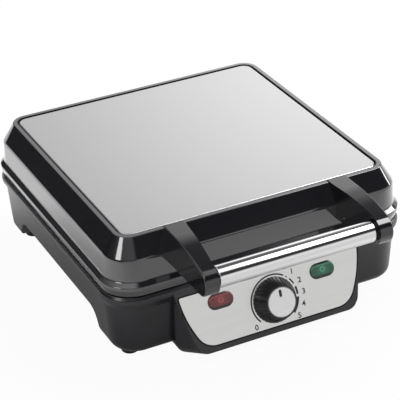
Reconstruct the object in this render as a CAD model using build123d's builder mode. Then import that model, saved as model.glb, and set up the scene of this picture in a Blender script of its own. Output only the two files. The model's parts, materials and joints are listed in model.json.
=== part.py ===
from build123d import *
import os
from math import cos, radians, sin, tan

# Four-waffle maker.  A hinged lid with a bar handle closes on a base with four legs and a
# sloping control panel at the front.  Lengths are millimetres, +Z is up, +X is to the right of
# the person who faces the panel, and the panel looks towards -Y.  The origin lies on the table,
# under the centre of the closed appliance.
#
# "Reach" is a distance outwards from the edge of the square steel lid plate, and every outline
# of lid, base and cooking plates is that square grown by its reach.  "Level" is a height above
# the table.

os.makedirs("parts", exist_ok=True)

# ---- steel lid plate
plate_side = 230.0
plate_corner = 8.6
plate_level = 113.5
plate_sheet = 0.8
plate_rim_depth = 2.4
plate_edge_round = 1.2
plate_gap = 0.5
groove_width = 1.8

# ---- lid outline, from the ridge down to the rim
ridge_reach = 5.1
ridge_level = 113.9
bevel_reach = 15.2
bevel_level = 97.6
lid_wall_reach = 16.1
lid_wall_level = 79.5
bead_reach = 19.7
lid_bead_top = 76.0
lid_bead_bottom = 73.2
rim_reach = 18.0
lid_wall = 2.6
lid_web = 3.2
ring_depth = 7.0
rim_cover = 1.0

# ---- parting between lid and base
parting_level = 67.0
parting_gap = 1.2
lid_rim = parting_level + parting_gap / 2
base_rim = parting_level - parting_gap / 2

# ---- base outline, from the rim down to the legs
base_bead_top = 63.8
base_bead_bottom = 60.4
base_wall_reach = 16.3
base_wall_level = 53.6
leg_reach = 13.2
leg_level = 9.7
leg_round = 9.0
base_wall = 2.5
arch_level = 32.0
arch_front = -78.6
arch_rear = 79.5
arch_front_slope = 9.0
arch_rear_slope = 16.0
channel_half = 70.0
channel_slope = 20.0
channel_front = -106.0
arch_top_round = 14.0
arch_foot_round = 8.0

# ---- rubber feet
foot_radius = 7.3
foot_x = 110.5
foot_front = -103.0
foot_rear = 110.0
foot_round = 1.2
foot_stem_radius = 3.0
foot_stem = 6.0

# ---- sloping control panel, measured on its steel face from the middle of the dial's row
panel_tilt = 20.8
panel_y = -146.2
panel_level = 33.5
panel_top = 26.1
panel_top_half = 81.1
panel_waist = 6.9
panel_waist_half = 77.4
panel_heel = -10.0
panel_heel_half = 70.5
panel_bottom = -19.2
panel_top_corner = 1.5
panel_sheet = 0.8
panel_proud = 0.3
panel_gap = 0.7
panel_groove = 1.3
panel_edge_round = 0.25

# ---- housing behind the panel; its front face is the surround
surround_top = 30.9
surround_top_half = 84.5
surround_bottom = -24.4
surround_bottom_half = 72.5
surround_corner = 11.5
housing_half = 84.0
housing_level = 3.2
housing_corner = 14.0
housing_shoulder = -134.8
housing_root = -121.0
housing_top_corner = 2.0
shelf_drop = 0.5
shelf_root = 74.8
shelf_front = 62.9

# ---- knob, lights and thermostat on the panel
knob_height_on_panel = 2.4
knob_base_radius = 19.0
knob_top_radius = 13.6
knob_depth = 13.0
knob_lift = 0.8
knob_flutes = 36
flute_share = 0.045
knob_wall = 2.4
knob_taper = 22.0
knob_hub_radius = 5.4
cap_recess = 0.4
cap_round = 0.25
shaft_top = 10.5
neck_stand = 3.0
cap_radius = 12.3
cap_sheet = 0.6
cap_clearance = 0.1
shaft_radius = 3.0
shaft_clearance = 0.05
shaft_end_gap = 0.3
neck_radius = 4.8
neck_clearance = 0.3
nut_flats = 12.0
nut_thickness = 2.0
nut_clearance = 0.4
lens_x = 46.2
lens_height_on_panel = 15.0
lens_length = 22.2
lens_width = 12.8
lens_proud = 1.3
lens_round = 0.9
lens_clearance = 0.15
lens_flange = 2.0
lens_flange_sheet = 1.5
lens_sleeve = 1.4
lens_skin = 0.2
lamp_radius = 2.9
lamp_length = 11.0
thermostat_width = 30.0
thermostat_height = 22.0
thermostat_depth = 15.0
bracket_width = 14.0
bracket_sheet = 1.2
bracket_rise = 4.0
bracket_bend = 2.5
bracket_foot = (6.0, 18.0)

# ---- handle
bar_y = -179.0
bar_level = 97.1
bar_radius = 9.0
bar_bore = 7.6
bar_gap = 1.8
arm_end_radius = 11.9
arm_outer = 82.2
arm_end_inner = 70.3
arm_root_inner = 64.0
arm_top_level = 114.5
arm_flat_end = -138.0
arm_underside = 84.5
arm_ridge_cover = 3.4
arm_edge_round = 1.2
bar_edge_round = 1.0
spigot_clearance = 0.1
spigot_length = 14.0
spigot_root = 2.0
arm_pad_depth = 5.0
arm_pad_edge = 2.0
arm_screw_level = 90.0
arm_screw_length = 17.0
arm_screw_step = 4.6

# ---- cooking plates
flange_reach = 13.8
flange_sheet = 2.6
flange_gap = 0.3
dish_reach = 3.0
well_pitch = 114.0
well_side = 108.0
well_depth = 14.0
well_corner = 7.0
well_draft = 8.0
casting_floor = 3.5
peg_pitch = 20.6
peg_side = 14.0
peg_height = 10.5
peg_draft = 11.0
pegs_across = 5
ledge_reach = 5.0
ledge_sheet = 2.4

# ---- plate bosses and heat shields
boss_x = 104.0
boss_y = 40.0
boss_radius = 5.0
boss_length = 11.4
plate_screw_reach = 8.0
mount_boss_radius = 6.5
shield_sheet = 0.6
shield_edge = 8.0
shield_half_y = 100.0
shield_rim = 6.0
shield_corner = 16.0

# ---- heating elements and their clamps
element_radius = 3.6
element_gap = 0.1
element_half_x = 84.0
element_half_y = 84.0
element_bend = 26.0
element_end_x = 24.0
element_end_y = 96.0
element_end_bend = 11.0
pin_radius = 1.5
pin_length = 10.0
clamp_x = 47.0
clamp_sheet = 1.0
clamp_width = 12.0
clamp_foot = 9.0
fuse_radius = 2.2
fuse_length = 16.0
fuse_y = 40.0

# ---- hinge
hinge_x = 75.0
hinge_gap_to_bead = 0.7
knuckle_radius = 8.5
knuckle_width = 24.0
knuckle_web = 6.0
knuckle_turn = 20.0
ear_web = 9.0
ear_turn = 30.0
ear_width = 8.0
ear_gap = 0.5
pin_radius_hinge = 2.5
pin_clearance = 0.05
pin_head_radius = 4.2
pin_head = 1.6

# ---- screws
screw_radius = 2.0
screw_head_radius = 3.8
screw_head = 2.2
small_screw_radius = 1.4
small_screw_head_radius = 2.6
small_screw_head = 1.4
clamp_screw_depth = 2.8
cover_screw_depth = 2.6
screw_tip = 1.0
small_screw_tip = 0.3
head_play = 0.3
thread_clearance = 0.02
hole_clearance = 0.25

# ---- bottom cover
cover_half_x = 54.0
cover_half_y = 90.0
cover_sheet = 1.5
cover_lap = 6.0
cover_frame = 2.2
cover_gap = 0.3
cover_corner = 5.0
slot_length = 34.0
slot_width = 3.0
slot_pitch = 9.0
slots_per_row = 8

# ---- cables and the cord's inlet
cable_radius = 2.4
cable_bend = 7.0
cable_side = 15.0
cable_inside = 3.0
lid_cable_level = 86.0
base_cable_level = 48.0
cable_joint_gap = 0.3
wire_radius = 1.1
wire_gap = 0.2
wire_bend = 2.6
wire_step = 1.3
gland_x = 38.0
gland_level = 45.0
gland_bore = 3.6
gland_body = 5.6
gland_flange_radius = 8.8
gland_flange = 2.5
gland_pad_radius = 9.8
gland_pad_face = 132.5
gland_pad_back = 126.5
gland_nut_flats = 15.0
gland_nut = 3.0
gland_end = 1.0

# ---- terminal block
block_x = 60.0
block_y = 112.0
block_length = 24.0
block_depth = 14.0
block_height = 12.0
block_screw_radius = 1.8

# ---- sizes that follow from the ones above
half_side = plate_side / 2
hinge_y = half_side + bead_reach + hinge_gap_to_bead + knuckle_radius
hinge_level = parting_level
front_reach = arm_end_radius - bar_y
rear_reach = hinge_y + knuckle_radius
mid_y = (front_reach - rear_reach) / 2
seat_level = plate_level - plate_sheet
arch_floor = arch_level + base_wall
lower_face = parting_level - flange_gap / 2
upper_face = parting_level + flange_gap / 2
casting_back = well_depth + casting_floor
shield_offset = casting_back + boss_length
shield_half_x = boss_x + shield_edge
element_offset = casting_back + element_gap + element_radius


# ---- working planes, all through the middle of the body
def level(z):
    """Horizontal plane at a height above the table."""
    return Plane((0, mid_y, z))


def side_view(x):
    """Upright plane seen from the right: local x runs backwards, local y runs up."""
    return Plane((x, mid_y, 0), x_dir=(0, 1, 0), z_dir=(1, 0, 0))


def front_view(y):
    """Upright plane seen from the front: local x runs right, local y runs up."""
    return Plane((0, mid_y + y, 0), x_dir=(1, 0, 0), z_dir=(0, -1, 0))


panel = Plane(
    (0, mid_y + panel_y, panel_level),
    x_dir=(1, 0, 0),
    z_dir=(0, -cos(radians(panel_tilt)), sin(radians(panel_tilt))),
)
knob_plane = Plane(
    panel.from_local_coords((0, knob_height_on_panel, 0)), x_dir=(1, 0, 0), z_dir=panel.z_dir
)
lower_cooking = level(lower_face)
upper_cooking = Plane((0, mid_y, upper_face), x_dir=(1, 0, 0), z_dir=(0, 0, -1))


# ---- shared shapes
def square(reach):
    """The lid plate's square grown by a reach, in the current sketch."""
    side = plate_side + 2 * reach
    RectangleRounded(side, side, plate_corner + reach)


def swept_ring(outline):
    """A closed ring round the body.  The outline holds ((reach, level), corner radius) pairs."""
    with BuildSketch(level(0)) as edge:
        square(0)
    path = edge.sketch.face().outer_wire()
    start = path @ 0
    along = path % 0
    outward = Vector(along.Y, -along.X, 0)
    if outward.dot(start - Vector(0, mid_y, 0)) < 0:
        outward = -outward
    with BuildPart() as ring:
        with BuildSketch(Plane(start, x_dir=outward, z_dir=outward.cross(Vector(0, 0, 1)))):
            with BuildLine():
                FilletPolyline([at for at, _ in outline], radius=[r for _, r in outline], close=True)
            make_face()
        sweep(path=path)
    return ring.part


def tapered_block(low_level, low_reach, high_level, high_reach):
    """A solid of the body's plan, from one level and reach to another."""
    with BuildPart() as block:
        with BuildSketch(level(low_level)):
            square(low_reach)
        with BuildSketch(level(high_level)):
            square(high_reach)
        loft(ruled=True)
    return block.part


def screw(head_plane, shank, length, head_radius, head):
    """A cross-head screw: its head stands on the plane and its shank runs behind it."""
    with BuildPart() as fastener:
        with BuildSketch(head_plane):
            Circle(head_radius)
        extrude(amount=head)
        fillet(fastener.edges().group_by(Axis(head_plane.origin, head_plane.z_dir))[-1], head * 0.35)
        with BuildSketch(head_plane):
            Circle(shank)
        extrude(amount=-length)
        with BuildSketch(head_plane.offset(head)):
            Rectangle(head_radius * 1.2, shank * 0.35)
            Rectangle(shank * 0.35, head_radius * 1.2)
        extrude(amount=-head * 0.5, mode=Mode.SUBTRACT)
    return fastener.part


def save(builder, name):
    """Labels one finished piece and writes its file."""
    builder.part.label = name
    export_step(builder.part, f"parts/{name}.step")


# ---- outlines of the two mouldings
lid_outside = [
    ((plate_gap, ridge_level), 0.3),
    ((ridge_reach, ridge_level), 0.9),
    ((bevel_reach, bevel_level), 5.0),
    ((lid_wall_reach, lid_wall_level), 2.0),
    ((bead_reach, lid_bead_top), 1.2),
    ((bead_reach, lid_bead_bottom), 1.2),
    ((rim_reach, lid_rim), 0.4),
]
base_bead = [
    ((rim_reach, base_rim), 0.8),
    ((bead_reach, base_bead_top), 2.0),
    ((bead_reach, base_bead_bottom), 2.0),
    ((base_wall_reach, base_wall_level), 0.6),
]


def wall_reach(z):
    """Reach of the base's outer wall, which leans in a little towards the table."""
    rise = (z - leg_level) / (base_wall_level - leg_level)
    return leg_reach + rise * (base_wall_reach - leg_reach)


def lid_form():
    """The lid's outer shape as one solid block."""
    closing = [((-ring_depth, lid_rim), 0), ((-ring_depth, seat_level), 0), ((plate_gap, seat_level), 0)]
    with BuildPart() as form:
        add(swept_ring(lid_outside + closing))
        with BuildSketch(level(lid_rim)):
            square(plate_gap - ring_depth)
        extrude(amount=seat_level - lid_rim)
    return form.part


def arch_profile(view, ends, slopes, inset):
    """Profile of the space under the base, wider towards the table, drawn in an upright view."""
    near, far = ends[0] - inset, ends[1] + inset
    roof = arch_level + inset
    foot = leg_level + inset
    beyond = 3 * half_side
    with BuildSketch(view) as profile:
        with BuildLine():
            FilletPolyline(
                (-beyond, -foot), (-beyond, foot), (near - slopes[0], foot), (near, roof),
                (far, roof), (far + slopes[1], foot), (beyond, foot), (beyond, -foot),
                radius=[0, 0, arch_foot_round, arch_top_round, arch_top_round, arch_foot_round, 0, 0],
                close=True,
            )
        make_face()
    return profile.sketch


def housing_section(y, top, inset):
    """Upright section of the housing's straight part."""
    with BuildSketch(front_view(y + inset)) as section:
        with BuildLine():
            FilletPolyline(
                (-housing_half + inset, top - inset), (housing_half - inset, top - inset),
                (housing_half - inset, housing_level + inset),
                (-housing_half + inset, housing_level + inset),
                radius=[housing_top_corner] * 2 + [housing_corner - inset] * 2,
                close=True,
            )
        make_face()
    return section.sketch


def surround_outline(inset):
    """Outline of the housing's front face, parallel to the panel."""
    with BuildSketch(panel.offset(-panel_proud - inset)) as outline:
        with BuildLine():
            FilletPolyline(
                (-surround_top_half + inset, surround_top - inset),
                (surround_top_half - inset, surround_top - inset),
                (surround_bottom_half - inset, surround_bottom + inset),
                (-surround_bottom_half + inset, surround_bottom + inset),
                radius=[housing_top_corner] * 2 + [surround_corner - inset] * 2,
                close=True,
            )
        make_face()
    return outline.sketch


def housing_form(inset):
    """The panel housing as a block: straight from its root to its shoulder, then tapered to the face."""
    root = housing_section(housing_root, shelf_root, inset)
    shoulder = housing_section(housing_shoulder, shelf_front, inset)
    with BuildPart() as form:
        loft([root, shoulder], ruled=True)
        loft([shoulder, surround_outline(inset)], ruled=True)
        split(bisect_by=level(base_rim - shelf_drop - inset), keep=Keep.BOTTOM)
    return form.part


def base_form(inset):
    """The base as a block, with its walls drawn in by an inset to give the hollow inside."""
    with BuildPart() as form:
        add(
            tapered_block(
                leg_level + inset, leg_reach - inset,
                base_rim + inset, wall_reach(base_rim) - inset,
            )
        )
        fillet(form.edges().group_by(Axis.Z)[0], leg_round - inset)
        side_arch = arch_profile(
            side_view(-plate_side), (arch_front, arch_rear), (arch_front_slope, arch_rear_slope), inset
        )
        extrude(side_arch, amount=2 * plate_side, mode=Mode.SUBTRACT)
        channel_view = front_view(channel_front - inset)
        rear_arch = arch_profile(
            channel_view, (-channel_half, channel_half), (channel_slope, channel_slope), inset
        )
        extrude(rear_arch, amount=-2 * plate_side, mode=Mode.SUBTRACT)
        add(housing_form(inset))
    return form.part


# ---- places shared by several pieces
plate_posts = [(side * boss_x, row * boss_y) for side in (-1, 1) for row in (-1, 1)]
screw_recess = screw_head + head_play
lid_boss_foot = upper_face + shield_offset + shield_sheet
lower_boss_foot = lower_face - shield_offset - shield_sheet
lid_screw_seat = level(seat_level - screw_recess)
base_screw_seat = Plane((0, mid_y, arch_level + screw_recess), x_dir=(1, 0, 0), z_dir=(0, 0, -1))
pad_y = -half_side - bevel_reach + arm_pad_depth
arm_mid = (arm_outer + arm_root_inner) / 2
arm_pad = Plane((0, mid_y + pad_y, arm_screw_level), x_dir=(-1, 0, 0), z_dir=(0, 1, 0))
lens_rows = [(-lens_x, lens_height_on_panel), (lens_x, lens_height_on_panel)]
housing_back = panel.offset(-panel_proud - base_wall)
knob_back = knob_plane.offset(-panel_proud - base_wall)
pin_reach = knuckle_width / 2 + ear_gap + ear_width
cable_inside_y = half_side + cable_inside


def round_hinge(turn, up):
    """Point on the hinge's outside, in a side view, at a turn backwards from straight up or down."""
    back, rise = knuckle_radius * sin(radians(turn)), knuckle_radius * cos(radians(turn))
    return (hinge_y + back, hinge_level + up * rise)


# ---- lid shell
lid_inside = [
    ((rim_reach - lid_wall, lid_rim), 0.4),
    ((lid_wall_reach - lid_wall, lid_wall_level + 1), 1.5),
    ((bevel_reach - lid_wall, bevel_level - 1), 3.0),
    ((ridge_reach - lid_wall, seat_level - lid_web), 1.0),
    ((-ring_depth, seat_level - lid_web), 0),
    ((-ring_depth, seat_level), 0),
    ((plate_gap - groove_width, seat_level), 0),
    ((plate_gap - groove_width, plate_level - plate_rim_depth - plate_gap / 2), 0),
    ((plate_gap, plate_level - plate_rim_depth - plate_gap / 2), 0),
]

with BuildPart() as lid_shell:
    add(swept_ring(lid_outside + lid_inside))
    with BuildSketch(level(seat_level)):
        square(plate_gap - ring_depth)
    extrude(amount=-lid_web)
    # ledge that the upper cooking plate's flange lies against
    ledge = level(upper_face + flange_sheet)
    with BuildSketch(ledge):
        square(rim_reach - lid_wall / 2)
    extrude(amount=ledge_sheet)
    with BuildSketch(ledge):
        square(ledge_reach)
    extrude(amount=ledge_sheet, mode=Mode.SUBTRACT)
    # bosses down to the heat shield
    with BuildSketch(level(seat_level - lid_web)):
        with Locations(plate_posts):
            Circle(mount_boss_radius)
    extrude(amount=lid_boss_foot - seat_level + lid_web)
    # flat pads behind the handle arms
    with BuildSketch(arm_pad):
        with Locations((-arm_mid, 0), (arm_mid, 0)):
            Rectangle(
                arm_outer - arm_root_inner + 2 * arm_pad_edge,
                2 * (arm_screw_step + screw_head_radius + hole_clearance) - arm_pad_edge,
            )
    extrude(amount=pad_y + half_side + bevel_reach - lid_wall / 2, dir=(0, -1, 0))
    # hinge knuckles
    for side in (-1, 1):
        with BuildSketch(side_view(side * hinge_x - knuckle_width / 2)):
            with Locations((hinge_y, hinge_level)):
                Circle(knuckle_radius)
            with BuildLine():
                Polyline(
                    (half_side + lid_wall_reach - lid_wall / 2, lid_wall_level + knuckle_web),
                    round_hinge(knuckle_turn, 1),
                    (hinge_y, lid_rim + rim_cover),
                    (half_side + lid_wall_reach - lid_wall / 2, lid_rim + rim_cover),
                    close=True,
                )
            make_face()
        extrude(amount=knuckle_width)
    with BuildSketch(side_view(-2 * half_side)):
        with Locations((hinge_y, hinge_level)):
            Circle(pin_radius_hinge + pin_clearance)
    extrude(amount=4 * half_side, mode=Mode.SUBTRACT)
    # screw holes and the cable's hole
    with BuildSketch(level(seat_level)):
        with Locations(plate_posts):
            Circle(screw_head_radius + hole_clearance)
    extrude(amount=-screw_recess, mode=Mode.SUBTRACT)
    with BuildSketch(level(seat_level)):
        with Locations(plate_posts):
            Circle(screw_radius + hole_clearance)
    extrude(amount=lid_boss_foot - seat_level, mode=Mode.SUBTRACT)
    with BuildSketch(arm_pad):
        with GridLocations(2 * arm_mid, 0, 2, 1):
            with GridLocations(2 * arm_screw_step, 0, 2, 1):
                Circle(screw_radius + hole_clearance)
    extrude(amount=-arm_screw_length, mode=Mode.SUBTRACT)
    with BuildSketch(front_view(hinge_y)):
        with Locations((cable_side, lid_cable_level)):
            Circle(cable_radius + hole_clearance)
    extrude(amount=hinge_y - cable_inside_y, mode=Mode.SUBTRACT)
save(lid_shell, "lid_shell")


# ---- brushed steel lid plate
with BuildPart() as lid_top_plate:
    with BuildSketch(level(plate_level)):
        square(0)
    extrude(amount=-plate_rim_depth)
    fillet(lid_top_plate.faces().sort_by(Axis.Z)[-1].edges(), plate_edge_round)
    with BuildSketch(level(seat_level)):
        square(-plate_sheet)
    extrude(amount=-plate_rim_depth, mode=Mode.SUBTRACT)
save(lid_top_plate, "lid_top_plate")


# ---- handle
def handle_arm(side):
    """One deep curved arm, with the spigot that carries the bar."""
    top_rear = -half_side - ridge_reach + arm_ridge_cover
    inner = side * arm_root_inner
    with BuildPart() as arm:
        with BuildSketch(side_view(side * arm_outer)):
            with BuildLine():
                crown = Line((top_rear, arm_top_level), (arm_flat_end, arm_top_level))
                nose = CenterArc((bar_y, bar_level), arm_end_radius, 105.5, 164.5)
                TangentArc(crown @ 1, nose @ 0, tangent=(-1, 0))
                Polyline(
                    nose @ 1, (-half_side - ledge_reach, arm_underside),
                    (top_rear, seat_level), (top_rear, arm_top_level),
                )
            make_face()
        extrude(amount=-side * (arm_outer - arm_root_inner))
        fillet(arm.faces().filter_by(Axis.X).edges(), arm_edge_round)
        with BuildSketch(level(0)):
            with BuildLine():
                Polyline(
                    (inner, -half_side), (side * arm_end_inner, bar_y), (side * arm_end_inner, 2 * bar_y),
                    (0, 2 * bar_y), (0, -half_side), close=True,
                )
            make_face()
        extrude(amount=2 * arm_top_level, mode=Mode.SUBTRACT)
        with BuildSketch(side_view(side * (arm_end_inner + spigot_root))):
            with Locations((bar_y, bar_level)):
                Circle(bar_bore - spigot_clearance)
        extrude(amount=-side * (spigot_length + spigot_root))
        add(lid_form(), mode=Mode.SUBTRACT)
        with BuildSketch(arm_pad):
            with Locations((-side * arm_mid, 0)):
                with GridLocations(2 * arm_screw_step, 0, 2, 1):
                    Circle(screw_radius + thread_clearance)
        extrude(amount=-arm_screw_length - screw_tip, mode=Mode.SUBTRACT)
    return arm


for side, hand in ((-1, "left"), (1, "right")):
    save(handle_arm(side), f"handle_arm_{hand}")

with BuildPart() as handle_bar:
    bar_half = arm_end_inner - bar_gap
    with BuildSketch(side_view(-bar_half)):
        with Locations((bar_y, bar_level)):
            Circle(bar_radius)
    extrude(amount=2 * bar_half)
    fillet(handle_bar.edges().filter_by(GeomType.CIRCLE), bar_edge_round)
    with BuildSketch(side_view(-bar_half)):
        with Locations((bar_y, bar_level)):
            Circle(bar_bore)
    extrude(amount=2 * bar_half, mode=Mode.SUBTRACT)
save(handle_bar, "handle_bar")

with BuildPart() as handle_screws:
    for across in (-1, 1):
        for step in (-1, 1):
            spot = arm_pad.offset(0)
            spot.origin = arm_pad.from_local_coords((across * arm_mid + step * arm_screw_step, 0, 0))
            add(screw(spot, screw_radius, arm_screw_length, screw_head_radius, screw_head))
save(handle_screws, "handle_screws")


# ---- cooking plates and what is fixed behind them; "face" is the cooking side, its Z outwards
def waffle_plate(face):
    """A cast plate with two by two deep grids and four bosses behind."""
    back = face.offset(-casting_back)
    with BuildPart() as plate:
        with BuildSketch(face):
            square(flange_reach)
        extrude(amount=-flange_sheet)
        with BuildSketch(face):
            square(dish_reach)
        extrude(amount=-casting_back)
        with BuildSketch(face):
            with GridLocations(well_pitch, well_pitch, 2, 2):
                RectangleRounded(well_side, well_side, well_corner)
        extrude(amount=-well_depth, taper=well_draft, mode=Mode.SUBTRACT)
        with BuildSketch(face.offset(-well_depth)):
            with GridLocations(well_pitch, well_pitch, 2, 2):
                with GridLocations(peg_pitch, peg_pitch, pegs_across, pegs_across):
                    Rectangle(peg_side, peg_side)
        extrude(amount=peg_height, taper=peg_draft)
        with BuildSketch(back):
            with Locations(plate_posts):
                Circle(boss_radius)
        extrude(amount=-boss_length)
        with BuildSketch(face.offset(-shield_offset)):
            with Locations(plate_posts):
                Circle(screw_radius + thread_clearance)
        extrude(amount=plate_screw_reach + screw_tip, mode=Mode.SUBTRACT)
        with BuildSketch(back):
            for place, along in clamp_places(face):
                with Locations(clamp_screw_spots(place, along)):
                    Circle(small_screw_radius + thread_clearance)
        extrude(amount=clamp_screw_depth + small_screw_tip, mode=Mode.SUBTRACT)
    return plate


def rear_sign(face):
    """+1 where the plane's local y runs backwards, -1 where it runs forwards."""
    return 1 if face.y_dir.Y > 0 else -1


def clamp_places(face):
    """Centres of the element's clamps and the direction of the element there."""
    rear = rear_sign(face) * element_half_y
    return [
        ((element_half_x, 0), "y"), ((-element_half_x, 0), "y"), ((0, -rear), "x"),
        ((clamp_x, rear), "x"), ((-clamp_x, rear), "x"),
    ]


def clamp_screw_spots(place, along):
    """The two screws of one clamp, one on each side of the element."""
    step = element_radius + element_gap + clamp_sheet + clamp_foot / 2
    across = (step, 0) if along == "y" else (0, step)
    return [(place[0] + sign * across[0], place[1] + sign * across[1]) for sign in (-1, 1)]


def heating_element(face):
    """A sheathed element bent round the plate, with a cold pin at each end."""
    middle = face.offset(-element_offset)
    rear = rear_sign(face)
    corners = [
        (element_end_x, rear * element_end_y), (element_end_x, rear * element_half_y),
        (element_half_x, rear * element_half_y), (element_half_x, -rear * element_half_y),
        (-element_half_x, -rear * element_half_y), (-element_half_x, rear * element_half_y),
        (-element_end_x, rear * element_half_y), (-element_end_x, rear * element_end_y),
    ]
    route = [middle.from_local_coords((x, y, 0)) for x, y in corners]
    with BuildPart() as element:
        with BuildLine() as centre:
            FilletPolyline(
                route, radius=[element_end_bend] + [element_bend] * 4 + [element_end_bend],
            )
        with BuildSketch(Plane(route[0], z_dir=route[1] - route[0])):
            Circle(element_radius)
        sweep(path=centre.line)
        for end in (0, -1):
            out = route[end] - route[1 if end == 0 else -2]
            with BuildSketch(Plane(route[end], z_dir=out)):
                Circle(pin_radius)
            extrude(amount=pin_length)
    return element


def element_clamps(face):
    """Straps over the element, each with two feet on the casting."""
    back = face.offset(-casting_back)
    bend = element_radius + element_gap
    with BuildPart() as clamps:
        for place, along in clamp_places(face):
            turn = back.x_dir if along == "y" else back.y_dir
            run = turn.cross(back.z_dir)
            origin = back.from_local_coords((place[0], place[1], 0))
            profile = Plane(origin - run * (clamp_width / 2), x_dir=turn, z_dir=run)
            up = -back.z_dir.dot(profile.y_dir)
            with BuildSketch(profile):
                with BuildLine():
                    outer = bend + clamp_sheet
                    foot = outer + clamp_foot
                    Polyline(
                        (-foot, 0), (-foot, up * clamp_sheet), (-outer, up * clamp_sheet),
                        (-outer, up * bend),
                    )
                    ThreePointArc((-outer, up * bend), (0, up * (bend + outer)), (outer, up * bend))
                    Polyline(
                        (outer, up * bend), (outer, up * clamp_sheet), (foot, up * clamp_sheet),
                        (foot, 0), (bend, 0), (bend, up * bend),
                    )
                    ThreePointArc((bend, up * bend), (0, up * 2 * bend), (-bend, up * bend))
                    Polyline((-bend, up * bend), (-bend, 0), (-foot, 0))
                make_face()
            extrude(amount=clamp_width)
            with BuildSketch(back):
                with Locations(clamp_screw_spots(place, along)):
                    Circle(small_screw_radius + hole_clearance)
            extrude(amount=-clamp_sheet, mode=Mode.SUBTRACT)
    return clamps


def clamp_screws(face):
    """Two small screws in each clamp."""
    seat = Plane(
        face.offset(-casting_back - clamp_sheet).origin, x_dir=face.x_dir, z_dir=-face.z_dir,
    )
    with BuildPart() as screws:
        for place, along in clamp_places(face):
            for x, y in clamp_screw_spots(place, along):
                spot = seat.offset(0)
                spot.origin = seat.origin + face.x_dir * x + face.y_dir * y
                shank = clamp_sheet + clamp_screw_depth
                add(screw(spot, small_screw_radius, shank, small_screw_head_radius, small_screw_head))
    return screws


def heat_shield(face):
    """A sheet tray over the element, its rim turned towards the plate."""
    sheet = face.offset(-shield_offset - shield_sheet)
    with BuildPart() as shield:
        with BuildSketch(sheet):
            RectangleRounded(2 * shield_half_x, 2 * shield_half_y, shield_corner)
        extrude(amount=shield_rim)
        with BuildSketch(sheet.offset(shield_sheet)):
            RectangleRounded(
                2 * (shield_half_x - shield_sheet),
                2 * (shield_half_y - shield_sheet),
                shield_corner - shield_sheet,
            )
        extrude(amount=shield_rim, mode=Mode.SUBTRACT)
        with BuildSketch(sheet):
            with Locations(plate_posts):
                Circle(screw_radius + hole_clearance)
        extrude(amount=shield_sheet, mode=Mode.SUBTRACT)
    return shield


def thermal_fuse(face):
    """A fuse in its sleeve, held flat on the casting by a saddle."""
    back = face.offset(-casting_back)
    axis_depth = element_gap + fuse_radius
    start = back.from_local_coords((-fuse_length / 2, fuse_y, -axis_depth))
    with BuildPart() as fuse:
        with BuildSketch(Plane(start, z_dir=back.x_dir)):
            Circle(fuse_radius)
        extrude(amount=fuse_length)
        fillet(fuse.edges().filter_by(GeomType.CIRCLE), fuse_radius * 0.35)
        lead = back.from_local_coords((-fuse_length, fuse_y, -axis_depth))
        with BuildSketch(Plane(lead, z_dir=back.x_dir)):
            Circle(fuse_radius / 4)
        extrude(amount=2 * fuse_length)
    return fuse


for face, name in ((upper_cooking, "upper"), (lower_cooking, "lower")):
    save(waffle_plate(face), f"{name}_cooking_plate")
    save(heating_element(face), f"{name}_heating_element")
    save(element_clamps(face), f"{name}_element_clamps")
    save(clamp_screws(face), f"{name}_clamp_screws")
    save(heat_shield(face), f"{name}_heat_shield")
    save(thermal_fuse(face), f"{name}_thermal_fuse")


def plate_screws(seat, boss_foot):
    """The four screws that draw one cooking plate against its bosses."""
    with BuildPart() as screws:
        length = abs(boss_foot - seat.origin.Z) + shield_sheet + plate_screw_reach
        for x, y in plate_posts:
            spot = seat.offset(0)
            spot.origin = seat.origin + Vector(x, y, 0)
            add(screw(spot, screw_radius, length, screw_head_radius, screw_head))
    return screws


save(plate_screws(lid_screw_seat, lid_boss_foot), "upper_plate_screws")
save(plate_screws(base_screw_seat, lower_boss_foot), "lower_plate_screws")


# ---- base shell
def cover_outline(half_x, half_y):
    RectangleRounded(2 * half_x, 2 * half_y, cover_corner)


def lens_outline(grow):
    """Rounded outline of both lenses, in the current sketch."""
    with Locations(lens_rows):
        SlotOverall(lens_length + 2 * grow, lens_width + 2 * grow)


def panel_outline(grow):
    """Outline of the steel panel, its bowed sides running into the round lower corners."""
    with BuildSketch(panel) as outline:
        with BuildLine():
            Line((0, panel_top), (-panel_top_half, panel_top))
            bow = ThreePointArc(
                (-panel_top_half, panel_top),
                (-panel_waist_half, panel_waist),
                (-panel_heel_half, panel_heel),
            )
            lean = bow % 1
            heel_run = (panel_heel - panel_bottom) * -lean.Y / (1 - lean.X)
            heel = TangentArc(bow @ 1, (heel_run - panel_heel_half, panel_bottom), tangent=lean)
            Line(heel @ 1, (0, panel_bottom))
            mirror(about=Plane.YZ)
        make_face()
        fillet(outline.vertices().group_by(Axis.Y)[-1], panel_top_corner)
        if grow:
            offset(amount=grow)
    return outline.sketch


cover_screw_spots = [
    (side * (cover_half_x - cover_lap / 2), row * (cover_half_y - cover_lap / 2))
    for side in (-1, 1) for row in (-1, 1)
]
foot_spots = {
    "front_left": (-foot_x, foot_front), "front_right": (foot_x, foot_front),
    "rear_left": (-foot_x, foot_rear), "rear_right": (foot_x, foot_rear),
}

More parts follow.
